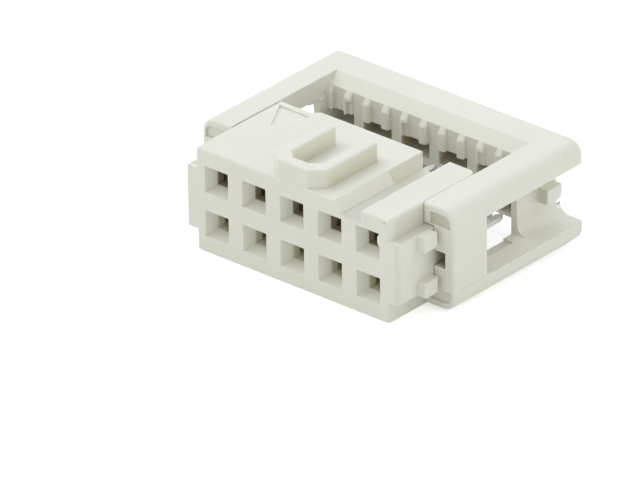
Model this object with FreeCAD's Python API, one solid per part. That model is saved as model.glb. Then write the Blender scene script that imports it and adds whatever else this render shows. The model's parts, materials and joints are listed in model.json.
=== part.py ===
"""Two-row ribbon-cable socket with its cover in the open position. Sizes are in millimetres.

The origin is the centre of the mating face, midway between the rows. X runs along the
rows, Y from the mating face towards the cable, and Z up towards the polarising key.
"""
import FreeCAD, Part
import os
from FreeCAD import Placement, Rotation, Vector

# Grid of the ways
pitch = 2.54
ways = 5

# Body: the block
end_wall = 1.37
body_length = 6.9
body_height = 5.9
block_round = 0.14
back_step_width = 2.15
back_step_slope = 0.55
back_step_depth = 0.36
strip_corner_round = 0.45

# Body: flanges that guide the cover, with their lugs
flange_reach = 0.65
flange_height = 3.5
flange_round = 0.12
stop_lug_reach = 0.54
stop_lug_start = 1.49
stop_lug_length = 1.01
stop_lug_height = 0.9
stop_lug_round = 0.12
catch_reach = 0.4
catch_length = 0.8
catch_height = 0.7

# Body: pin entries and contact chambers
funnel_width = 1.59
funnel_height = 1.52
funnel_depth = 0.68
pin_hole_width = 1.03
pin_hole_height = 0.97
front_wall = 1.2
middle_wall = 1.04
chamber_width = 1.7
chamber_height = 1.25
slot_play = 0.05
slot_depth = 1.3

# Body: polarising key, channel and mark on the top
key_width = 3.5
key_height = 1.05
key_front = 0.1
key_length = 4.57
key_wall = 0.72
key_outer_bevel = (0.76, 0.62)
key_inner_bevel = (0.52, 0.46)
key_round = 0.12
channel_left = 2.87
channel_right = 4.68
channel_depth = 0.64
channel_bevel = 0.46
well_start = 4.17
well_depth = 1.0
mark_width = 2.14
mark_length = 1.93
mark_back_wall = 0.7
mark_depth = 0.1

# Cover: frame
slide_gap = 0.05
cover_height = 5.76
post_wall = 1.3
top_plate = 1.24
bottom_plate = 1.15
latch_gap = 0.25
post_length = 2.57
rail_end = 8.9
long_round = 0.8
back_round = 0.28
front_round = 0.18
lug_notch_reach = 0.72
lug_notch_height = 0.9
lug_notch_length = 1.9
arm_pocket_width = 1.38
arm_pocket_height = 0.72
arm_pocket_depth = 0.16
arm_pocket_inset = 0.34
arm_pocket_edge = 0.38
arm_pocket_corner = 0.45

# Cover: comb that lays the wires over the forks
cable_gap = 3.23
rib_width = 0.5
rib_reach = 0.25
rib_bevel = 0.32
rib_end = 1.13
rib_round = 0.14
web_foot = 1.3
web_depth = 2.32
lip_height = 0.53
lip_reach = 0.7
crossbar_depth = 1.92
fork_hole_width = 1.9
fork_hole_top = 1.15
fork_hole_floor = 0.2
fork_hole_depth = 1.74
rib_pocket_ribs = (1, 4, 8)
rib_pocket_top = 1.92
rib_pocket_side = 0.08
rib_pocket_depth = 0.2

# Cover: cheeks beside the comb
cable_play = 0.08
cheek_wall = 0.4
cheek_lead = 0.52
cheek_foot = 0.6
relief_lug_reach = 0.74
relief_lug_height = 0.82
relief_lug_length = 1.16
relief_lug_inset = 0.38
relief_lug_round = 0.08
relief_lug_corner = 0.35

# Contacts
sheet = 0.25
sheet_play = 0.02
pin_width = 0.64
fork_width = 1.1
fork_reach = 2.45
fork_slot_width = 0.24
fork_slot_depth = 1.7
fork_bevel = (0.16, 0.42)
fork_mouth = 0.34
tail_width = 1.3
beam_height = 0.8
beam_squeeze = 0.1
beam_lead = 0.55
beam_flare = 0.22
beam_tip_gap = 0.35
beam_root = 5.3
beam_box = 1.0
beam_clearance = 0.1
fold_length = 1.0
fold_round = 0.2
strip_lead = 0.4

# Places that follow from the sizes
row_z = pitch / 2
wire_pitch = pitch / 2
way_x = [(i - (ways - 1) / 2) * pitch for i in range(ways)]
body_side = way_x[-1] + end_wall
body_top = body_height / 2
flange_side = body_side + flange_reach
flange_top = flange_height / 2
stop_lug_end = stop_lug_start + stop_lug_length
cover_inner = body_side + slide_gap
rail_side = flange_side + slide_gap
rail_top = flange_top + slide_gap
cover_side = rail_side + post_wall
cover_top = body_top
cover_bottom = body_top - cover_height
cover_middle = (cover_top + cover_bottom) / 2
cover_front = stop_lug_end + latch_gap
post_back = cover_front + post_length
window_top = cover_top - top_plate
window_bottom = cover_bottom + bottom_plate
rib_front = body_length + cable_gap
web_front = rib_front + rib_reach
web_back = web_front + web_depth
lip_front = web_front + lip_reach
cover_back = lip_front + crossbar_depth
rib_x = [(k - ways) * wire_pitch for k in range(2 * ways + 1)]
cheek_inner = ways * wire_pitch + cable_play
cheek_side = cheek_inner + cheek_wall
cheek_front = rib_front - cheek_lead
wall_half = middle_wall / 2
contact_z = wall_half + sheet_play
fork_tip = body_length + fork_reach


def block(low, high):
    """A box from its lowest to its highest corner."""
    size = [b - a for a, b in zip(low, high)]
    return Part.makeBox(size[0], size[1], size[2], Vector(*low))


def prism(points, direction):
    """A straight prism over a closed outline of points."""
    corners = [Vector(*p) for p in points]
    wire = Part.makePolygon(corners + [corners[0]])
    return Part.Face(wire).extrude(Vector(*direction))


def mirrored(shape, normal):
    """The shape's mirror image in the plane through the origin."""
    return shape.mirror(Vector(0, 0, 0), Vector(*normal))


def both_sides(shape):
    """The shape and its mirror image across the middle of the rows' length."""
    return [shape, mirrored(shape, (1, 0, 0))]


def four_corners(shape):
    """The shape, mirrored to the left, to the underside and to both."""
    return both_sides(shape) + both_sides(mirrored(shape, (0, 0, 1)))


def edges_where(shape, test):
    """Edges whose box passes a test on its low and high corners."""
    found = []
    for edge in shape.Edges:
        box = edge.BoundBox
        if test(box):
            found.append(edge)
    return found


def near(a, b):
    """Whether two lengths are the same, within a rounding error."""
    return abs(a - b) < 1e-4


def along(box, axis):
    """Whether a box has length along one axis only."""
    size = {"x": box.XLength, "y": box.YLength, "z": box.ZLength}
    return size[axis] > 1e-3 and sum(size[k] for k in size if k != axis) < 1e-3


def rows():
    """Each row's name, its side of the middle plane and its wires' offset from the pins."""
    return [("upper", 1, -wire_pitch / 2), ("lower", -1, wire_pitch / 2)]


# The body
def make_block():
    """The body's block with its side flanges and rounded long edges."""
    core = block((-body_side, 0, -body_top), (body_side, body_length, body_top))
    core = core.makeFillet(block_round, edges_where(core, lambda b: not along(b, "x") or near(b.YMin, 0)))
    flange = block((-flange_side, 0, -flange_top), (flange_side, body_length, flange_top))
    flange = flange.makeFillet(flange_round, edges_where(flange, lambda b: near(b.XMin, b.XMax)))
    return core.fuse(flange).removeSplitter()


def make_funnel(x, z):
    """A tapered square pin entry and the straight hole behind it."""
    def frame(width, height, y):
        corners = [Vector(x + sx * width / 2, y, z + sz * height / 2)
                   for sx, sz in ((-1, -1), (1, -1), (1, 1), (-1, 1))]
        return Part.makePolygon(corners + [corners[0]])

    mouth = frame(funnel_width, funnel_height, 0)
    throat = frame(pin_hole_width, pin_hole_height, funnel_depth)
    taper = Part.makeLoft([mouth, throat], True, True)
    hole = block((x - pin_hole_width / 2, funnel_depth, z - pin_hole_height / 2),
                 (x + pin_hole_width / 2, front_wall, z + pin_hole_height / 2))
    return taper.fuse(hole)


def make_chamber(x, side, offset):
    """The room of one contact, open at the back, with a wider slot for its tail."""
    z_low, z_high = sorted((side * wall_half, side * (wall_half + chamber_height)))
    room = block((x - chamber_width / 2, front_wall, z_low), (x + chamber_width / 2, body_length, z_high))
    z_low, z_high = sorted((side * wall_half, side * (wall_half + sheet + 2 * sheet_play)))
    half = tail_width / 2 + slot_play
    start = body_length - slot_depth
    slot = block((x + offset - half, start, z_low), (x + offset + half, body_length, z_high))
    return room.fuse(slot)


def make_key():
    """The polarising key: a raised U, open to the back, with bevelled front corners."""
    half = key_width / 2
    inner = half - key_wall
    back = key_front + key_length
    bx, by = key_outer_bevel
    ix, iy = key_inner_bevel
    front = key_front + key_wall
    outline = [(-half, back), (-half, key_front + by), (-half + bx, key_front), (half - bx, key_front),
               (half, key_front + by), (half, back), (inner, back), (inner, front + iy), (inner - ix, front),
               (-inner + ix, front), (-inner, front + iy), (-inner, back)]
    solid = prism([(x, y, body_top - block_round) for x, y in outline], (0, 0, key_height + block_round))
    top = body_top + key_height
    return solid.makeFillet(key_round, edges_where(solid, lambda b: near(b.ZMin, top)))


def make_channel():
    """The channel in the top: a bevelled shallow part and a deep well that opens at the back."""
    floor = body_top - channel_depth
    shallow = prism([(channel_left, -1, body_top + 1), (channel_left, -1, body_top),
                     (channel_left + channel_bevel, -1, floor), (channel_right, -1, floor),
                     (channel_right, -1, body_top + 1)], (0, well_start + 1.5, 0))
    deep = block((channel_left, well_start, body_top - well_depth),
                 (channel_right, body_length + 1, body_top + 1))
    return shallow.fuse(deep)


def make_mark():
    """The shallow triangle in the top that points to the first way."""
    x = way_x[0]
    back = body_length - mark_back_wall
    floor = body_top - mark_depth
    return prism([(x - mark_width / 2, back, floor), (x + mark_width / 2, back, floor),
                  (x, back - mark_length, floor)], (0, 0, 1))


def make_back_step():
    """The step in the back edge beside the first way."""
    y = body_length - back_step_depth
    right = -body_side + back_step_width
    outline = [(-body_side - 1, y), (right, y), (right + back_step_slope, body_length + 0.2),
               (-body_side - 1, body_length + 0.2)]
    return prism([(x, y, flange_top + flange_round) for x, y in outline], (0, 0, body_height))


def make_strip_corner():
    """What rounds the back corner of the strip beside the channel, above the flange."""
    x = body_side - strip_corner_round
    y = body_length - strip_corner_round
    corner = block((x, y, flange_top), (body_side + 1, body_length + 1, body_top + 1))
    return corner.cut(Part.makeCylinder(strip_corner_round, body_height, Vector(x, y, 0)))


def make_stop_lug():
    """The upper right lug that keeps the cover from closing by itself."""
    reach = flange_side + stop_lug_reach
    low = flange_top - stop_lug_height
    lug = block((flange_side - 0.1, stop_lug_start, low), (reach, stop_lug_end, flange_top))
    soft = edges_where(lug, lambda b: near(b.XMin, reach) or near(b.ZMin, flange_top))
    return lug.makeFillet(stop_lug_round, soft)


def make_catch():
    """The right catch behind the post, with a ramp that the post slides over on assembly."""
    start = post_back + slide_gap
    high = flange_side + catch_reach
    outline = [(flange_side - 0.1, start), (high, start), (high, start + catch_length / 3),
               (flange_side, start + catch_length), (flange_side - 0.1, start + catch_length)]
    return prism([(x, y, -catch_height / 2) for x, y in outline], (0, 0, catch_height))


def make_body():
    """The whole body moulding."""
    solid = make_block().fuse([make_key()] + four_corners(make_stop_lug()) + both_sides(make_catch()))
    cuts = [make_channel(), make_mark(), make_back_step(), make_strip_corner()]
    for _, side, offset in rows():
        for x in way_x:
            cuts.append(make_funnel(x, side * row_z))
            cuts.append(make_chamber(x, side, offset))
    return solid.cut(cuts).removeSplitter()


# The cover
def make_shell():
    """The cover's outer form: a rounded bar around the whole frame."""
    shell = block((-cover_side, cover_front, cover_bottom), (cover_side, cover_back, cover_top))
    shell = shell.makeFillet(long_round, edges_where(shell, lambda b: along(b, "y")))
    back_rim = edges_where(shell, lambda b: near(b.YMin, cover_back))
    shell = shell.makeFillet(back_round, back_rim)
    front_rim = edges_where(shell, lambda b: near(b.YMax, cover_front))
    return shell.makeFillet(front_round, front_rim)


def make_opening():
    """The room between the arms: to the lip of the crossbar above, and right through under the web."""
    lip = cover_top - lip_height
    start = cover_front - 1
    profile = [(start, cover_top + 1), (lip_front, cover_top + 1), (lip_front, cover_top), (web_front, lip),
               (web_front, -web_foot), (cover_back + 1, -web_foot), (cover_back + 1, cover_bottom - 1),
               (start, cover_bottom - 1)]
    return prism([(-cover_inner, y, z) for y, z in profile], (2 * cover_inner, 0, 0))


def make_rails():
    """The rebates that the body's flanges slide in."""
    return block((-rail_side, cover_front - 1, -rail_top), (rail_side, rail_end, rail_top))


def make_side_window():
    """The right window behind the post, open to the back, with the cheek's concave foot."""
    outer = cover_side + 1
    front = block((cover_inner - 1, post_back, window_bottom), (outer, cheek_front, window_top))
    back = block((cheek_side, cheek_front, window_bottom), (outer, cover_back + 1, window_top))
    foot = edges_where(back, lambda b: along(b, "y") and near(b.XMin, cheek_side))
    return front.fuse(back.makeFillet(cheek_foot, foot))


def make_back_room():
    """What the web and its cheeks stand back from the frame's back."""
    return block((-cheek_side, web_back, window_bottom), (cheek_side, cover_back + 1, window_top))


def make_catch_notch():
    """The notch in the right post's front that leads the catch in."""
    return block((rail_side - 0.1, cover_front - 1, -lug_notch_height / 2),
                 (rail_side + lug_notch_reach, cover_front + lug_notch_length, lug_notch_height / 2))


def make_arm_pocket():
    """The shallow pocket in the front end of the upper right arm, round at its outer top corner."""
    left = cover_inner + arm_pocket_inset
    right = left + arm_pocket_width
    high = cover_top - arm_pocket_edge
    pocket = block((left, cover_front - 1, high - arm_pocket_height),
                   (right, cover_front + arm_pocket_depth, high))
    corner = edges_where(pocket, lambda b: along(b, "y") and near(b.XMax, right) and near(b.ZMax, high))
    return pocket.makeFillet(arm_pocket_corner, corner)


def make_rib(x):
    """A rib of the comb: a soft-edged column above the fork holes with a sloping cap."""
    root = web_front + rib_reach / 2
    high = cover_top - lip_height
    profile = [(root, rib_end), (rib_front, rib_end), (rib_front, high - rib_bevel), (web_front, high),
               (root, high)]
    rib = prism([(x - rib_width / 2, y, z) for y, z in profile], (rib_width, 0, 0))
    soft = edges_where(rib, lambda b: near(b.YMin, rib_front) and not near(b.ZMax, rib_end))
    return rib.makeFillet(rib_round, soft)


def make_rib_pocket(x):
    """The small pocket in the front of one rib, open to its right side."""
    return block((x - rib_pocket_side, rib_front - 1, rib_end - 1),
                 (x + rib_width, rib_front + rib_pocket_depth, rib_pocket_top))


def make_fork_hole(x, side):
    """The blind hole in the web that takes one contact's fork when the cover closes."""
    z_low, z_high = sorted((side * fork_hole_floor, side * fork_hole_top))
    left = max(x - fork_hole_width / 2, -cheek_inner)
    right = min(x + fork_hole_width / 2, cheek_inner)
    return block((left, web_front, z_low), (right, web_front + fork_hole_depth, z_high))


def make_cheek():
    """The thin wall at the comb's right end that keeps the cable in line."""
    return block((cheek_inner, cheek_front, window_bottom - 0.1), (cheek_side, web_back, window_top + 0.1))


def make_relief_lug():
    """The lug on the right cheek that a strain-relief clip hooks behind."""
    end = web_back - relief_lug_inset
    half = relief_lug_height / 2
    reach = cheek_side + relief_lug_reach
    low = cover_middle - half
    lug = block((cheek_side - 0.1, end - relief_lug_length, low), (reach, end, low + relief_lug_height))
    corner = edges_where(lug, lambda b: along(b, "x") and near(b.YMax, end) and near(b.ZMin, low))
    lug = lug.makeFillet(relief_lug_corner, corner)
    return lug.makeFillet(relief_lug_round, edges_where(lug, lambda b: near(b.XMin, reach)))


def make_cover():
    """The whole cover moulding."""
    frame = make_shell().cut([make_opening(), make_rails(), make_back_room()])
    pocket = make_arm_pocket()
    lower_pocket = pocket.mirror(Vector(0, 0, cover_middle), Vector(0, 0, 1))
    side_cuts = [make_side_window(), make_catch_notch(), pocket, lower_pocket]
    frame = frame.cut([cut for part in side_cuts for cut in both_sides(part)])
    ribs = [make_rib(x) for x in rib_x]
    frame = frame.fuse(both_sides(make_cheek()) + both_sides(make_relief_lug()) + ribs)
    comb_cuts = [make_fork_hole(x + offset, side) for _, side, offset in rows() for x in way_x]
    comb_cuts += [make_rib_pocket(rib_x[k]) for k in rib_pocket_ribs]
    return frame.cut(comb_cuts).removeSplitter()


# The contacts
def make_fork(x):
    """The flat tail and its slotted fork, seen from above, for an upper contact."""
    half = fork_width / 2
    slot = fork_slot_width / 2
    mouth = fork_mouth / 2 + slot
    root = fork_tip - fork_slot_depth
    shoulder = body_length - slot_depth + slot_play
    bx, by = fork_bevel
    outline = [(-half, body_length), (-half, fork_tip - by), (-half + bx, fork_tip), (-mouth, fork_tip),
               (-slot, fork_tip - fork_mouth), (-slot, root), (slot, root), (slot, fork_tip - fork_mouth),
               (mouth, fork_tip), (half - bx, fork_tip), (half, fork_tip - by), (half, body_length),
               (tail_width / 2, body_length),
               (tail_width / 2, shoulder), (-tail_width / 2, shoulder), (-tail_width / 2, body_length)]
    fork = prism([(x + px, py, contact_z) for px, py in outline], (0, 0, sheet))
    end = Part.makeCylinder(slot, sheet, Vector(x, root, contact_z))
    return fork.cut(end)


def make_base(x):
    """The strip that carries the beams and lies on the wall between the rows."""
    half = beam_box / 2 + sheet
    start = beam_root - fold_length - strip_lead
    end = body_length - slot_depth + sheet
    return block((x - half, start, contact_z), (x + half, end, contact_z + sheet))


def make_beam(x):
    """One spring beam: up from the strip's edge, then forward and in to the pin."""
    inner = beam_box / 2
    grip = pin_width / 2 - beam_squeeze
    tip = front_wall + beam_tip_gap
    touch = tip + beam_lead
    root = beam_root - fold_length
    low = contact_z + sheet + beam_clearance
    outline = [(inner, root), (grip, touch), (grip + beam_flare, tip), (grip + beam_flare + sheet, tip),
               (grip + sheet, touch), (inner + sheet, root), (inner + sheet, beam_root), (inner, beam_root)]
    return prism([(x + px, py, low) for px, py in outline], (0, 0, beam_height))


def make_wall(x):
    """The folded wall that joins one beam to the strip, with a rounded bend."""
    inner = beam_box / 2
    wall = block((x + inner, beam_root - fold_length, contact_z),
                 (x + inner + sheet, beam_root, contact_z + sheet + beam_clearance + beam_height))
    outer = x + inner + sheet
    bend = edges_where(wall, lambda b: along(b, "y") and near(b.XMin, outer) and near(b.ZMin, contact_z))
    return wall.makeFillet(fold_round, bend)


def make_upper_contact(x, offset):
    """One contact of the upper row, with its fork beside the pin by half a pitch of the cable."""
    right = [make_beam(0), make_wall(0)]
    left = [mirrored(part, (1, 0, 0)) for part in right]
    spring = make_base(0).fuse(right + left)
    spring.translate(Vector(x, 0, 0))
    return spring.fuse(make_fork(x + offset)).removeSplitter()


def turned(shape):
    """The shape turned half round the Y axis, from the upper row to the lower row."""
    copy = shape.copy()
    copy.Placement = Placement(Vector(0, 0, 0), Rotation(Vector(0, 1, 0), 180)).multiply(copy.Placement)
    return copy


def make_contacts():
    """Each contact's name and solid; a lower contact is an upper one turned half round."""
    found = {}
    for name, side, offset in rows():
        for i, x in enumerate(way_x):
            solid = make_upper_contact(side * x, side * offset)
            found[f"contact_{name}_{i + 1}"] = solid if side > 0 else turned(solid)
    return found


def main():
    """Builds every node and writes its STEP file."""
    os.makedirs("parts", exist_ok=True)
    nodes = {"body": make_body(), "cover": make_cover()}
    nodes.update(make_contacts())
    for name, shape in nodes.items():
        solid = shape.Solids[0] if len(shape.Solids) == 1 else shape
        solid.exportStep(f"parts/{name}.step")
        print(name, "valid", solid.isValid(), "solids", len(shape.Solids), "faces", len(shape.Faces),
              "volume", round(shape.Volume, 3))


main()
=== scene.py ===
"""Dresses the ribbon-cable socket for its studio picture.

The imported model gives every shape. This script adds the moulded plastic, the plated contacts, the
marks that the mould leaves, the light tent and the camera. Lengths are in metres, but for the
boxes of the Hollow class.
"""
import json
import logging
import math
from dataclasses import dataclass, field
from enum import Enum
from typing import Callable

import bmesh
import bpy
from mathutils import Matrix, Vector

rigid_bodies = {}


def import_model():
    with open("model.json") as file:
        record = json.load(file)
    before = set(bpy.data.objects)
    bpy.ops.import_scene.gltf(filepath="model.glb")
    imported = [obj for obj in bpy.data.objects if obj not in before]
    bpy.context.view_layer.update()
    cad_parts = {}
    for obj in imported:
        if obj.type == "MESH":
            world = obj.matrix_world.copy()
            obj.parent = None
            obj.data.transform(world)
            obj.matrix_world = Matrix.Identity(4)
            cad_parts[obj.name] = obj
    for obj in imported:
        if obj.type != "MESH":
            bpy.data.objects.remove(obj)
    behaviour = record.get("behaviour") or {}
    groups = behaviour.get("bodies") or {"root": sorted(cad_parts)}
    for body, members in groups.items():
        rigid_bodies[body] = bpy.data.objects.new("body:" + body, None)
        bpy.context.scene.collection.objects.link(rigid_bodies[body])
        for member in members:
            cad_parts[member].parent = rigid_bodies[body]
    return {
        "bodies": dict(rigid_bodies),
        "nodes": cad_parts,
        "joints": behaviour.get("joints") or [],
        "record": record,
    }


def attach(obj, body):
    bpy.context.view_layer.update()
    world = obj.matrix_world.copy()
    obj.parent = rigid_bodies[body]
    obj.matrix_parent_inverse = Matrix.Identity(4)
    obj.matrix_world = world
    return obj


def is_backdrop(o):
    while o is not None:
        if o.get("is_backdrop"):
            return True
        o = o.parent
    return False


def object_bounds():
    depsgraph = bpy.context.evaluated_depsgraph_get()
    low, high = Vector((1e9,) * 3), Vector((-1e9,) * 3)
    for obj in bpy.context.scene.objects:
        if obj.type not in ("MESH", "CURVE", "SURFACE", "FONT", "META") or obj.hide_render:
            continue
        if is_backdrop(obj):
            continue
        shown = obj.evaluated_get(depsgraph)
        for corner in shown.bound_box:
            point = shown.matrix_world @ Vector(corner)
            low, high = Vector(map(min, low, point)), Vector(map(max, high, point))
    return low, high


MM = 0.001
SMOOTH_ANGLE = math.radians(35.0)
ON_PLANE = 0.01 * MM
SIDES = (-1, 1)
LOG = logging.getLogger("ribbon_socket")

Colour = tuple[float, float, float]
Point = tuple[float, float, float]
Range = tuple[float, float]
Socket = bpy.types.NodeSocket


class Slot(Enum):
    """The record's material slots, by name."""

    HOUSING = "housing"
    COVER = "cover_plastic"


class Row(Enum):
    """The two rows of contacts, by the word in their nodes' names."""

    UPPER = "upper"
    LOWER = "lower"


# Tools for meshes


def clear_selection() -> None:
    """Leaves edit mode and deselects everything, as each new piece needs first."""
    if bpy.context.object and bpy.context.object.mode != "OBJECT":
        bpy.ops.object.mode_set(mode="OBJECT")
    bpy.ops.object.select_all(action="DESELECT")


def pick_vertices(obj: bpy.types.Object, test: Callable[[Vector], bool]) -> None:
    """Selects the vertices of the object in edit mode whose places pass a test.

    Args:
        obj: The object in edit mode.
        test: Says whether a vertex at that place is picked.
    """
    bpy.ops.mesh.select_all(action="DESELECT")
    mesh = bmesh.from_edit_mesh(obj.data)
    for vertex in mesh.verts:
        vertex.select = test(vertex.co)
    mesh.select_flush(True)
    bmesh.update_edit_mesh(obj.data)


def apply_modifier(obj: bpy.types.Object, kind: str, **values: object) -> None:
    """Adds a modifier and applies it.

    Args:
        obj: The active object, in object mode.
        kind: The modifier's type.
        values: Its properties.
    """
    modifier = obj.modifiers.new(kind.lower(), kind)
    for name, value in values.items():
        setattr(modifier, name, value)
    bpy.ops.object.modifier_apply(modifier=modifier.name)


def hand_over(obj: bpy.types.Object, name: str,
              material: bpy.types.Material) -> None:
    """Names a finished piece, settles its place in its mesh, dresses it and lets it ride.

    Args:
        obj: The piece, selected and active in object mode.
        name: Its name.
        material: Its material.
    """
    bpy.ops.object.transform_apply(location=True, rotation=True, scale=True)
    bpy.ops.object.shade_smooth_by_angle(angle=SMOOTH_ANGLE)
    obj.name = name
    obj.data.name = name
    dress(obj, material)
    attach(obj, "root")
    LOG.info("%s: %d faces", name, len(obj.data.polygons))


def dress(obj: bpy.types.Object, material: bpy.types.Material) -> None:
    """Puts one material in all of an object's slots.

    Args:
        obj: The object to dress.
        material: The finish it gets.
    """
    if not obj.material_slots:
        obj.data.materials.append(material)
    for slot in obj.material_slots:
        slot.material = material


# Tools for materials


@dataclass
class NodeDesk:
    """A node tree and short ways to add to it."""

    tree: bpy.types.NodeTree

    def add(self, kind: str, **values: object) -> bpy.types.Node:
        """Adds a node.

        Args:
            kind: Its type, without the ShaderNode that all have in front.
            values: Its properties.

        Returns:
            The new node.
        """
        node = self.tree.nodes.new(kind if kind.startswith("Node") else f"ShaderNode{kind}")
        for name, value in values.items():
            setattr(node, name, value)
        return node

    def join(self, source: Socket, target: Socket) -> None:
        """Links an output to an input."""
        self.tree.links.new(source, target)

    def noise(self, vector: Socket, scale: Socket, detail: float, roughness: float) -> Socket:
        """Adds a noise texture.

        Args:
            vector: What it reads its place from.
            scale: Waves in a metre.
            detail: Octaves.
            roughness: How much the finer octaves count.

        Returns:
            The noise's value.
        """
        node = self.add("TexNoise")
        node.inputs["Detail"].default_value = detail
        node.inputs["Roughness"].default_value = roughness
        self.join(vector, node.inputs["Vector"])
        self.join(scale, node.inputs["Scale"])
        return node.outputs["Fac"]

    def remap(self, value: Socket, source: Range, target: Range) -> Socket:
        """Adds a clamped map from one range to another.

        Args:
            value: What is mapped.
            source: The range it comes from, which may run downwards.
            target: The range it goes to.

        Returns:
            The mapped value.
        """
        node = self.add("MapRange")
        self.join(value, node.inputs["Value"])
        node.inputs["From Min"].default_value, node.inputs["From Max"].default_value = source
        node.inputs["To Min"].default_value, node.inputs["To Max"].default_value = target
        return node.outputs["Result"]

    def times(self, first: Socket, second: Socket) -> Socket:
        """Multiplies two masks.

        Args:
            first: One mask.
            second: The other.

        Returns:
            Their product.
        """
        node = self.add("Math", operation="MULTIPLY")
        self.join(first, node.inputs[0])
        self.join(second, node.inputs[1])
        return node.outputs["Value"]

    def blend(self, share: Socket, first: Colour | Socket, second: Colour,
              kind: str = "MIX") -> Socket:
        """Mixes two colours.

        Args:
            share: How far the second colour comes in.
            first: The colour where the share is zero.
            second: The colour where it is one.
            kind: The blend type.

        Returns:
            The mixed colour.
        """
        node = self.add("Mix", data_type="RGBA", blend_type=kind)
        self.join(share, node.inputs["Factor"])
        if isinstance(first, tuple):
            node.inputs["A"].default_value = (*first, 1.0)
        else:
            self.join(first, node.inputs["A"])
        node.inputs["B"].default_value = (*second, 1.0)
        return node.outputs["Result"]

    def relief(self, height: Socket, strength: float, depth: float) -> bpy.types.Node:
        """Adds a bump.

        Args:
            height: The relief's height.
            strength: How much of it shows.
            depth: The height's reach in metres.

        Returns:
            The bump node.
        """
        node = self.add("Bump")
        node.inputs["Strength"].default_value = strength
        node.inputs["Distance"].default_value = depth
        self.join(height, node.inputs["Height"])
        return node

    def seen(self) -> Socket:
        """Marks the rays that show a thing itself: the camera's and the glossy ones."""
        path = self.add("LightPath")
        return self.total([path.outputs["Is Camera Ray"], path.outputs["Is Glossy Ray"]])

    def total(self, values: list[Socket]) -> Socket:
        """Adds masks up, to 1 at most.

        Args:
            values: The masks.

        Returns:
            Their clamped sum.
        """
        result = values[0]
        for value in values[1:]:
            plus = self.add("Math", operation="ADD", use_clamp=True)
            self.join(result, plus.inputs[0])
            self.join(value, plus.inputs[1])
            result = plus.outputs["Value"]
        return result


def new_material(name: str) -> tuple[bpy.types.Material, NodeDesk, bpy.types.Node]:
    """Makes an empty material with a Principled BSDF.

    Args:
        name: The material's name.

    Returns:
        The material, its desk and its shader.
    """
    material = bpy.data.materials.new(name)
    material.use_nodes = True
    desk = NodeDesk(material.node_tree)
    return material, desk, material.node_tree.nodes["Principled BSDF"]


class EffectGroup:
    """A shader node group with named inputs and outputs, built once."""

    def __init__(self, name: str, inputs: dict[str, str], outputs: dict[str, str]) -> None:
        """Makes the group and its sockets.

        Args:
            name: The group's name.
            inputs: Each input's name and socket type.
            outputs: Each output's name and socket type.
        """
        self.tree = bpy.data.node_groups.new(name, "ShaderNodeTree")
        for label, kind in inputs.items():
            self.tree.interface.new_socket(name=label, in_out="INPUT", socket_type=kind)
        for label, kind in outputs.items():
            self.tree.interface.new_socket(name=label, in_out="OUTPUT", socket_type=kind)
        self.desk = NodeDesk(self.tree)
        self.entry = self.desk.add("NodeGroupInput")
        self.exit = self.desk.add("NodeGroupOutput")

    def place(self, desk: NodeDesk, **values: float) -> bpy.types.Node:
        """Puts the group in a material, reading Object coordinates.

        Args:
            desk: The material's desk.
            values: The group's inputs, with spaces written as underscores.

        Returns:
            The group node.
        """
        node = desk.add("Group")
        node.node_tree = self.tree
        desk.join(desk.add("TexCoord").outputs["Object"], node.inputs["Vector"])
        for name, value in values.items():
            node.inputs[name.replace("_", " ")].default_value = value
        return node


class MouldSkin(EffectGroup):
    """The skin of a moulding: slow flow clouds, fine spark-eroded grain and stray specks."""

    flow_stretch: Point = (1.0, 0.45, 1.0)
    cloud_detail: float = 3.0
    cloud_roughness: float = 0.55
    cloud_contrast: Range = (0.3, 0.7)
    grain_detail: float = 2.0
    grain_roughness: float = 0.6
    speck_edge: Range = (0.05, 0.11)
    speck_rarity: Range = (0.90, 0.93)

    def __init__(self) -> None:
        """Builds the group."""
        super().__init__("mould_skin",
                         {"Vector": "NodeSocketVector", "Cloud Scale": "NodeSocketFloat",
                          "Grain Scale": "NodeSocketFloat", "Speck Scale": "NodeSocketFloat"},
                         {"Cloud": "NodeSocketFloat", "Grain": "NodeSocketFloat",
                          "Speck": "NodeSocketFloat"})
        desk, entry = self.desk, self.entry.outputs
        stretch = desk.add("Mapping")
        stretch.inputs["Scale"].default_value = self.flow_stretch
        desk.join(entry["Vector"], stretch.inputs["Vector"])
        cloud = desk.noise(stretch.outputs["Vector"], entry["Cloud Scale"], self.cloud_detail,
                           self.cloud_roughness)
        grain = desk.noise(entry["Vector"], entry["Grain Scale"], self.grain_detail,
                           self.grain_roughness)
        speck = desk.add("TexVoronoi", feature="F1")
        desk.join(entry["Vector"], speck.inputs["Vector"])
        desk.join(entry["Speck Scale"], speck.inputs["Scale"])
        spot = desk.remap(speck.outputs["Distance"], self.speck_edge, (1.0, 0.0))
        rare = desk.remap(speck.outputs["Color"], self.speck_rarity, (0.0, 1.0))
        desk.join(desk.remap(cloud, self.cloud_contrast, (0.0, 1.0)), self.exit.inputs["Cloud"])
        desk.join(grain, self.exit.inputs["Grain"])
        desk.join(desk.times(spot, rare), self.exit.inputs["Speck"])


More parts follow.
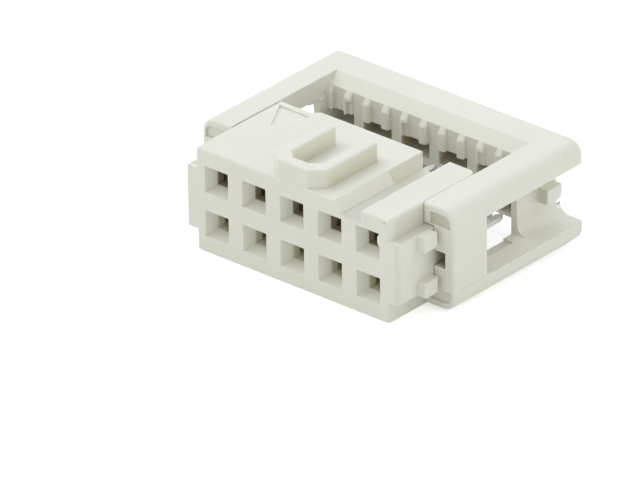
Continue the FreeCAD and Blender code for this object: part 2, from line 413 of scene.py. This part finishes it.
class HollowShade(EffectGroup):
    """A mask over a box inside the part, for painted shade on walls that little light reaches."""

    def __init__(self) -> None:
        """Builds the group."""
        super().__init__("hollow_shade",
                         {"Vector": "NodeSocketVector", "Middle": "NodeSocketVector",
                          "Half": "NodeSocketVector", "Fade": "NodeSocketFloat"},
                         {"Mask": "NodeSocketFloat"})
        desk, entry = self.desk, self.entry.outputs
        shifted = desk.add("VectorMath", operation="SUBTRACT")
        desk.join(entry["Vector"], shifted.inputs[0])
        desk.join(entry["Middle"], shifted.inputs[1])
        reach = desk.add("VectorMath", operation="ABSOLUTE")
        desk.join(shifted.outputs["Vector"], reach.inputs[0])
        inside = desk.add("VectorMath", operation="SUBTRACT")
        desk.join(entry["Half"], inside.inputs[0])
        desk.join(reach.outputs["Vector"], inside.inputs[1])
        parts = desk.add("SeparateXYZ")
        desk.join(inside.outputs["Vector"], parts.inputs[0])
        least = parts.outputs["X"]
        for axis in "YZ":
            smaller = desk.add("Math", operation="MINIMUM")
            desk.join(least, smaller.inputs[0])
            desk.join(parts.outputs[axis], smaller.inputs[1])
            least = smaller.outputs["Value"]
        share = desk.add("Math", operation="DIVIDE", use_clamp=True)
        desk.join(least, share.inputs[0])
        desk.join(entry["Fade"], share.inputs[1])
        desk.join(share.outputs["Value"], self.exit.inputs["Mask"])


class EdgeHighlight(EffectGroup):
    """A mask of the outer edges, for a painted highlight that noise breaks up."""

    samples: int = 6
    highlight_edge: Range = (0.92, 0.60)
    break_detail: float = 2.0
    break_roughness: float = 0.5
    break_contrast: Range = (0.35, 0.6)
    break_share: Range = (0.3, 1.0)

    def __init__(self) -> None:
        """Builds the group."""
        super().__init__("edge_highlight",
                         {"Vector": "NodeSocketVector", "Width": "NodeSocketFloat",
                          "Break Scale": "NodeSocketFloat"},
                         {"Highlight": "NodeSocketFloat"})
        desk, entry = self.desk, self.entry.outputs
        inner = desk.add("AmbientOcclusion", samples=self.samples, inside=True, only_local=True)
        desk.join(entry["Width"], inner.inputs["Distance"])
        rim = desk.remap(inner.outputs["AO"], self.highlight_edge, (0.0, 1.0))
        broken = desk.noise(entry["Vector"], entry["Break Scale"], self.break_detail,
                            self.break_roughness)
        share = desk.remap(broken, self.break_contrast, self.break_share)
        desk.join(desk.times(rim, share), self.exit.inputs["Highlight"])


@dataclass(frozen=True)
class Hollow:
    """A box whose walls are darkened, in millimetres: painted shade, or a small mark of the mould.
    """

    middle: Point
    half: Point
    fade: float
    shade: Colour = (1.0, 1.0, 1.0)

    def darken(self, desk: NodeDesk, group: HollowShade, colour: Socket) -> Socket:
        """Darkens a colour inside the box.

        Args:
            desk: The material's desk.
            group: The mask effect.
            colour: The colour so far.

        Returns:
            The darkened colour.
        """
        return desk.blend(self.mask(desk, group), colour, self.shade, "MULTIPLY")

    def mask(self, desk: NodeDesk, group: HollowShade) -> Socket:
        """Places the box's mask.

        Args:
            desk: The material's desk.
            group: The mask effect.

        Returns:
            The mask, one well inside the box.
        """
        node = group.place(desk, Middle=[v * MM for v in self.middle],
                           Half=[v * MM for v in self.half], Fade=self.fade * MM)
        return node.outputs["Mask"]


# Painted shade where little light comes, and small marks of the mould, as boxes in millimetres

# Painted shade in the pin entries and the contact chambers behind them, lighter in the lower row.
UPPER_THROAT_SHADE = Hollow((0.0, 1.19, 1.27), (6.2, 0.5, 0.9), 0.05, (0.47, 0.41, 0.33))
LOWER_THROAT_SHADE = Hollow((0.0, 1.19, -1.27), (6.2, 0.5, 0.9), 0.05, (0.94, 0.93, 0.83))
UPPER_CHAMBER_SHADE = Hollow((0.0, 3.5, 1.13), (6.2, 2.35, 0.8), 0.3, (0.72, 0.64, 0.52))
LOWER_CHAMBER_SHADE = Hollow((0.0, 3.5, -1.13), (6.2, 2.35, 0.8), 0.3, (1.0, 0.98, 0.88))
# Painted shade in the cover's fork holes.
FORK_HOLE_SHADE = Hollow((0.0, 11.5, 0.7), (5.05, 1.1, 0.6), 0.3, (0.66, 0.58, 0.44))
FLANGE_CORNERS = tuple(Hollow((side * 7.15, 0.3, 0.0), (0.62, 0.95, 1.75), 0.3)
                       for side in SIDES)
# Painted shade on the body's sides under the strips.
STRIP_FOOT_SHADE = tuple(Hollow((side * 6.45, 3.4, 2.15), (0.3, 3.0, 0.78), 0.8, (0.72, 0.72, 0.65))
                   for side in SIDES)
# Painted shade on the flange tops.
FLANGE_TOP_SHADE = tuple(Hollow((side * 6.78, 3.2, 1.75), (0.33, 3.0, 0.12), 0.1, (0.84, 0.84, 0.80))
                    for side in SIDES)
# Painted shade in the catch notches, on the housing and the cover.
CATCH_NOTCH_SHADE = tuple(Hollow((side * 7.5, 3.95, 0.0), (0.6, 1.1, 0.7), 0.3, (0.55, 0.53, 0.44))
                      for side in SIDES)
WITNESS_LINES = tuple(Hollow((side * 8.45, 4.13, -1.655), (0.2, 1.15, 0.022), 0.012,
                             (0.80, 0.80, 0.77)) for side in SIDES)
# Painted shade in the right arm's pocket.
ARM_POCKET_SHADE = Hollow((7.4, 2.98, 2.0), (0.8, 0.12, 0.62), 0.05, (0.80, 0.80, 0.74))
# Painted shade on the relief lug's front face.
LUG_FACE_SHADE = Hollow((7.28, 11.08, 0.07), (0.36, 0.11, 0.55), 0.03, (0.81, 0.81, 0.77))
# Painted shade on the channel floor.
CHANNEL_FLOOR_SHADE = Hollow((3.9, 3.2, 2.31), (0.76, 3.3, 0.05), 0.03, (0.80, 0.80, 0.79))
# Painted shade on the key's right side wall.
KEY_SIDE_SHADE = Hollow((1.80, 2.7, 3.3), (0.10, 2.1, 0.55), 0.05, (0.96, 0.96, 0.92))
# Painted contact shadow at the feet of the key's walls, on the walls and the floor beside them.
KEY_FOOT_SHADOW = tuple(Hollow((x, 2.9, 2.95), (0.65, 2.3, 0.8), 0.65, (0.86, 0.86, 0.81))
                 for x in (1.75, -1.03))
SPECKS = (Hollow((6.2, 0.0, 2.74), (0.07, 0.07, 0.05), 0.04, (0.36, 0.34, 0.30)),
          Hollow((6.45, 1.31, -2.36), (0.05, 0.06, 0.05), 0.04, (0.55, 0.53, 0.48)),
          Hollow((6.45, 1.52, -2.50), (0.05, 0.04, 0.04), 0.03, (0.60, 0.58, 0.52)))


@dataclass(frozen=True)
class MouldedPlastic:
    """Glass-filled polyester straight from the mould."""

    name: str
    hollows: tuple[Hollow, ...]
    light: Colour = (0.822, 0.824, 0.722)
    dark: Colour = (0.792, 0.792, 0.687)
    speck: Colour = (0.42, 0.40, 0.33)
    speck_strength: float = 0.5
    # Painted highlight on the outer edges: its colour, reach and break-up.
    rim: Colour = (0.94, 0.94, 0.86)
    highlight_width: float = 0.11 * MM
    highlight_break: float = 1400.0
    roughness: Range = (0.44, 0.52)
    refraction: float = 1.5
    grain_strength: float = 0.6
    grain_depth: float = 0.0022 * MM
    edge_samples: int = 6
    edge_radius: float = 0.07 * MM
    soft_radius: float = 0.45 * MM
    soft_corners: tuple[Hollow, ...] = ()
    cloud_scale: float = 260.0
    grain_scale: float = 16000.0
    speck_scale: float = 900.0

    def make(self, skin: MouldSkin, shade: HollowShade, rim: EdgeHighlight) -> bpy.types.Material:
        """Builds the material.

        Args:
            skin: The moulding's skin effect.
            shade: The mask for its hollows' painted shade and its small marks.
            rim: The mask of its outer edges, for their painted highlight.

        Returns:
            The material.
        """
        material, desk, shader = new_material(self.name)
        effect = skin.place(desk, Cloud_Scale=self.cloud_scale, Grain_Scale=self.grain_scale,
                            Speck_Scale=self.speck_scale).outputs
        edges = rim.place(desk, Width=self.highlight_width, Break_Scale=self.highlight_break)
        colour = desk.blend(effect["Cloud"], self.dark, self.light)
        dirt = desk.remap(effect["Speck"], (0.0, 1.0), (0.0, self.speck_strength))
        colour = desk.blend(dirt, colour, self.speck)
        # Painted highlight on the outer edges.
        colour = desk.blend(edges.outputs["Highlight"], colour, self.rim)
        # Painted shade in the hollows, and the mould's small marks.
        for hollow in self.hollows:
            colour = hollow.darken(desk, shade, colour)
        desk.join(colour, shader.inputs["Base Color"])
        gloss = desk.remap(effect["Cloud"], (0.0, 1.0), self.roughness)
        desk.join(gloss, shader.inputs["Roughness"])
        shader.inputs["IOR"].default_value = self.refraction
        bump = desk.relief(effect["Grain"], self.grain_strength, self.grain_depth)
        desk.join(self.soften(desk, shade), bump.inputs["Normal"])
        desk.join(bump.outputs["Normal"], shader.inputs["Normal"])
        return material

    def soften(self, desk: NodeDesk, shade: HollowShade) -> Socket:
        """Rounds the shading of the edges, more at the soft corners.

        Args:
            desk: The material's desk.
            shade: The mask for the soft corners.

        Returns:
            The rounded normal.
        """
        edge = desk.add("Bevel", samples=self.edge_samples)
        edge.inputs["Radius"].default_value = self.edge_radius
        if self.soft_corners:
            softness = desk.total([corner.mask(desk, shade) for corner in self.soft_corners])
            radius = desk.remap(softness, (0.0, 1.0), (self.edge_radius, self.soft_radius))
            desk.join(radius, edge.inputs["Radius"])
        return edge.outputs["Normal"]


@dataclass(frozen=True)
class TinPlate:
    """Matt tin over a copper-alloy strip, slightly clouded, with a fine crystal grain."""

    name: str
    bright: Colour = (0.82, 0.81, 0.78)
    dull: Colour = (0.62, 0.61, 0.58)
    roughness: Range = (0.42, 0.62)
    grain_strength: float = 0.5
    grain_depth: float = 0.0015 * MM
    cloud_scale: float = 1500.0
    grain_scale: float = 9000.0

    def make(self, skin: MouldSkin) -> bpy.types.Material:
        """Builds the material.

        Args:
            skin: The clouds and grain, here for the tin's crystals.

        Returns:
            The material.
        """
        material, desk, shader = new_material(self.name)
        effect = skin.place(desk, Cloud_Scale=self.cloud_scale,
                            Grain_Scale=self.grain_scale).outputs
        colour = desk.blend(effect["Cloud"], self.dull, self.bright)
        desk.join(colour, shader.inputs["Base Color"])
        gloss = desk.remap(effect["Cloud"], (0.0, 1.0), self.roughness[::-1])
        desk.join(gloss, shader.inputs["Roughness"])
        shader.inputs["Metallic"].default_value = 1.0
        bump = desk.relief(effect["Grain"], self.grain_strength, self.grain_depth)
        desk.join(bump.outputs["Normal"], shader.inputs["Normal"])
        return material


@dataclass(frozen=True)
class PaperFloor:
    """White paper that keeps the part's shadow and is clear from below."""

    name: str
    colour: Colour = (0.88, 0.88, 0.88)
    lift: float = 0.55

    def make(self) -> bpy.types.Material:
        """Builds the material.

        Returns:
            The material.
        """
        material = bpy.data.materials.new(self.name)
        material.use_nodes = True
        desk = NodeDesk(material.node_tree)
        material.node_tree.nodes.clear()
        paper = desk.add("BsdfDiffuse")
        paper.inputs["Color"].default_value = (*self.colour, 1.0)
        glow = desk.add("Emission")
        lift = desk.remap(desk.seen(), (0.0, 1.0), (0.0, self.lift))
        desk.join(lift, glow.inputs["Strength"])
        total = desk.add("AddShader")
        desk.join(paper.outputs["BSDF"], total.inputs[0])
        desk.join(glow.outputs["Emission"], total.inputs[1])
        sided = desk.add("MixShader")
        desk.join(desk.add("NewGeometry").outputs["Backfacing"], sided.inputs["Fac"])
        desk.join(total.outputs["Shader"], sided.inputs[1])
        desk.join(desk.add("BsdfTransparent").outputs["BSDF"], sided.inputs[2])
        desk.join(sided.outputs["Shader"], desk.add("OutputMaterial").inputs["Surface"])
        return material


# The part


@dataclass
class Moulding:
    """One of the two mouldings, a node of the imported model."""

    node: str
    finish: MouldedPlastic

    def build(self, frame: dict, *effects: EffectGroup) -> bpy.types.Material:
        """Dresses the moulding's node.

        Args:
            frame: The loaded model.
            effects: The skin, the hollow mask (painted shade and marks) and the painted edge
                highlight of its finish.

        Returns:
            The moulding's material, for the marks on it.
        """
        material = self.finish.make(*effects)
        dress(frame["nodes"][self.node], material)
        LOG.info("%s: %s", self.node, self.finish.name)
        return material


@dataclass
class FlashSliver:
    """A curl of flash on the right lip of the last upper pin entry."""

    lip: float = 5.875 * MM
    low: float = 1.24 * MM
    high: float = 1.98 * MM
    width: float = 0.21 * MM
    depth: float = 0.07 * MM
    curl: float = 0.04 * MM
    root: float = 0.02 * MM
    lift: float = 0.01 * MM
    cuts: int = 3
    high_end: float = 0.35
    low_end: float = 0.2
    thinning: float = 0.6
    curled_share: float = 0.4
    curled_half: float = 0.25 * MM
    rounding: int = 2

    def build(self, material: bpy.types.Material) -> None:
        """Models the sliver.

        Args:
            material: The housing's plastic.
        """
        clear_selection()
        middle = (self.low + self.high) / 2
        place = (self.lip - self.width / 2 + self.root, self.depth / 2 + self.lift, middle)
        size = (self.width, self.depth, self.high - self.low)
        bpy.ops.mesh.primitive_cube_add(size=1.0, location=place, scale=size)
        piece = bpy.context.object
        bpy.ops.object.transform_apply(location=True, rotation=True, scale=True)
        bpy.ops.object.mode_set(mode="EDIT")
        bpy.ops.mesh.select_all(action="SELECT")
        bpy.ops.mesh.subdivide(number_cuts=self.cuts)
        self.narrow(piece, self.high, self.high_end)
        self.narrow(piece, self.low, self.low_end)
        free_side = self.lip - self.width * (1.0 - self.curled_share)
        pick_vertices(piece, lambda v: v.x < free_side and abs(v.z - middle) < self.curled_half)
        bpy.ops.transform.translate(value=(-self.curl * self.curled_share, self.curl, 0.0))
        bpy.ops.object.mode_set(mode="OBJECT")
        apply_modifier(piece, "SUBSURF", levels=self.rounding, render_levels=self.rounding)
        hand_over(piece, "flash_sliver", material)

    def narrow(self, piece: bpy.types.Object, height: float, share: float) -> None:
        """Draws one end of the sliver in towards the lip.

        Args:
            piece: The sliver in edit mode.
            height: The end's height.
            share: The width that is left.
        """
        pick_vertices(piece, lambda v: abs(v.z - height) < ON_PLANE)
        bpy.ops.transform.resize(value=(share, self.thinning, 1.0),
                                 center_override=(self.lip, self.depth / 2, height))


@dataclass
class GateMark:
    """The pin gate's small crater on the rounded edge of the cover's right arm."""

    round_middle: Point = (7.65 * MM, 11.76 * MM, 2.15 * MM)
    round_radius: float = 0.8 * MM
    slant: float = math.radians(53.0)
    radius: float = 0.16 * MM
    rim: float = 0.05 * MM
    height: float = 0.06 * MM
    sunk: float = 0.042 * MM
    crater_share: float = 0.6
    rounding: float = 0.012 * MM
    facets: int = 32

    def build(self, material: bpy.types.Material) -> None:
        """Models the crater's rim.

        Args:
            material: The cover's plastic.
        """
        clear_selection()
        out = Vector((math.sin(self.slant), 0.0, math.cos(self.slant)))
        reach = self.round_radius + self.height / 2 - self.sunk
        bpy.ops.mesh.primitive_cylinder_add(vertices=self.facets, radius=self.radius,
                                            depth=self.height,
                                            location=Vector(self.round_middle) + out * reach,
                                            rotation=(0.0, self.slant, 0.0))
        piece = bpy.context.object
        bpy.ops.object.mode_set(mode="EDIT")
        pick_vertices(piece, lambda v: v.z > 0.0)
        bpy.ops.mesh.inset(thickness=self.rim)
        bpy.ops.transform.translate(value=-out * self.height * self.crater_share)
        bpy.ops.object.mode_set(mode="OBJECT")
        apply_modifier(piece, "BEVEL", width=self.rounding, segments=2, limit_method="ANGLE")
        hand_over(piece, "gate_mark", material)


@dataclass
class ContactSet:
    """All ten contacts."""

    ways: int = 5
    finish: TinPlate = field(default_factory=lambda: TinPlate("tin_plate"))

    def build(self, frame: dict, skin: MouldSkin) -> None:
        """Dresses each contact's node.

        Args:
            frame: The loaded model.
            skin: The clouds and grain of the plating.
        """
        material = self.finish.make(skin)
        for row in Row:
            for way in range(1, self.ways + 1):
                dress(frame["nodes"][f"contact_{row.value}_{way}"], material)
        LOG.info("contacts: %d of %s", self.ways * len(Row), self.finish.name)


# The studio


@dataclass(frozen=True)
class Softbox:
    """A square area lamp that looks at the part."""

    name: str
    place: Point
    size: float
    power: float
    tint: Colour = (1.0, 1.0, 1.0)

    def build(self, target: Vector) -> None:
        """Adds the lamp.

        Args:
            target: What it is aimed at.
        """
        lamp = bpy.data.lights.new(self.name, "AREA")
        lamp.shape = "SQUARE"
        lamp.size = self.size
        lamp.energy = self.power
        lamp.color = self.tint
        holder = bpy.data.objects.new(self.name, lamp)
        bpy.context.scene.collection.objects.link(holder)
        holder.location = self.place
        holder.rotation_euler = (target - Vector(self.place)).to_track_quat("-Z", "Y").to_euler()


@dataclass
class LightTent:
    """The white tent: paper floor, even sky and softboxes."""

    floor_half: float = 1.5
    floor_gap: float = 0.01 * MM
    sky: float = 0.70
    shown: float = 1.0
    target: Point = (0.0, 6.0 * MM, 0.0)
    paper: PaperFloor = field(default_factory=lambda: PaperFloor("white_paper"))
    lamps: tuple[Softbox, ...] = (
        Softbox("overhead_softbox", (-0.12, 0.36, 0.55), 0.55, 0.62, (0.88, 0.90, 1.36)),
        Softbox("left_softbox", (-0.42, -0.10, 0.42), 0.50, 0.98, (0.99, 0.99, 1.04)),
        Softbox("right_softbox", (0.50, 0.22, 0.30), 0.40, 0.35),
    )

    def build(self, floor_height: float) -> None:
        """Builds the floor, the sky and the lamps.

        Args:
            floor_height: The height of the part's underside.
        """
        clear_selection()
        bpy.ops.mesh.primitive_plane_add(size=2 * self.floor_half,
                                         location=(0.0, 0.0, floor_height - self.floor_gap))
        floor = bpy.context.object
        floor.name = "paper_floor"
        dress(floor, self.paper.make())
        floor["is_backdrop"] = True
        self.make_sky()
        for lamp in self.lamps:
            lamp.build(Vector(self.target))
        LOG.info("light tent: %d lamps", len(self.lamps))

    def make_sky(self) -> None:
        """Lights evenly from all round, and shows white to the camera and to gloss."""
        world = bpy.data.worlds.new("tent_sky")
        bpy.context.scene.world = world
        world.use_nodes = True
        desk = NodeDesk(world.node_tree)
        strength = desk.remap(desk.seen(), (0.0, 1.0), (self.sky, self.shown))
        background = world.node_tree.nodes["Background"]
        background.inputs["Color"].default_value = (1.0, 1.0, 1.0, 1.0)
        desk.join(strength, background.inputs["Strength"])


@dataclass(frozen=True)
class CatalogueCamera:
    """A long lens at the photograph's angle."""

    azimuth: float = 41.3235
    elevation: float = 27.8863
    roll: float = -0.9491
    distance: float = 650.98 * MM
    aim: Point = (1.1471 * MM, 0.8414 * MM, -0.2373 * MM)
    lens: float = 722.04
    sensor: float = 36.0
    near: float = 0.05
    far: float = 20.0

    def build(self) -> None:
        """Adds the camera and makes it the scene's."""
        turn, lift, roll = (math.radians(a) for a in (self.azimuth, self.elevation, self.roll))
        forward = Vector((-math.sin(turn) * math.cos(lift), math.cos(turn) * math.cos(lift),
                          -math.sin(lift)))
        level = Vector((math.cos(turn), math.sin(turn), 0.0))
        right = level * math.cos(roll) + level.cross(forward) * math.sin(roll)
        upward = right.cross(forward)
        data = bpy.data.cameras.new("catalogue_camera")
        data.lens = self.lens
        data.sensor_width = self.sensor
        data.clip_start = self.near
        data.clip_end = self.far
        holder = bpy.data.objects.new("catalogue_camera", data)
        bpy.context.scene.collection.objects.link(holder)
        place = Matrix((right, upward, -forward)).transposed().to_4x4()
        place.translation = Vector(self.aim) - forward * self.distance
        holder.matrix_world = place
        bpy.context.scene.camera = holder
        LOG.info("camera: azimuth %.1f, elevation %.1f", self.azimuth, self.elevation)


def main() -> None:
    """Loads the model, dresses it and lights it."""
    logging.basicConfig(level=logging.INFO, format="%(name)s: %(message)s")
    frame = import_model()
    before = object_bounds()
    bpy.context.scene.view_settings.view_transform = "Standard"
    skin = MouldSkin()
    effects = (skin, HollowShade(), EdgeHighlight())
    # Boxes of painted shade, with the specks on the housing and the witness lines on the cover.
    housing_hollows = (UPPER_THROAT_SHADE, LOWER_THROAT_SHADE, UPPER_CHAMBER_SHADE, LOWER_CHAMBER_SHADE,
                       *CATCH_NOTCH_SHADE, *STRIP_FOOT_SHADE, *FLANGE_TOP_SHADE, CHANNEL_FLOOR_SHADE, KEY_SIDE_SHADE,
                       *KEY_FOOT_SHADOW, *SPECKS)
    cover_hollows = (FORK_HOLE_SHADE, *CATCH_NOTCH_SHADE, ARM_POCKET_SHADE, LUG_FACE_SHADE, *WITNESS_LINES)
    housing = MouldedPlastic("housing_plastic", housing_hollows, soft_corners=FLANGE_CORNERS)
    clamp = MouldedPlastic("clamp_cover_plastic", cover_hollows)
    FlashSliver().build(Moulding("body", housing).build(frame, *effects))
    GateMark().build(Moulding("cover", clamp).build(frame, *effects))
    ContactSet().build(frame, skin)
    LightTent().build(before[0][2])
    CatalogueCamera().build()


if __name__ == "__main__":
    main()
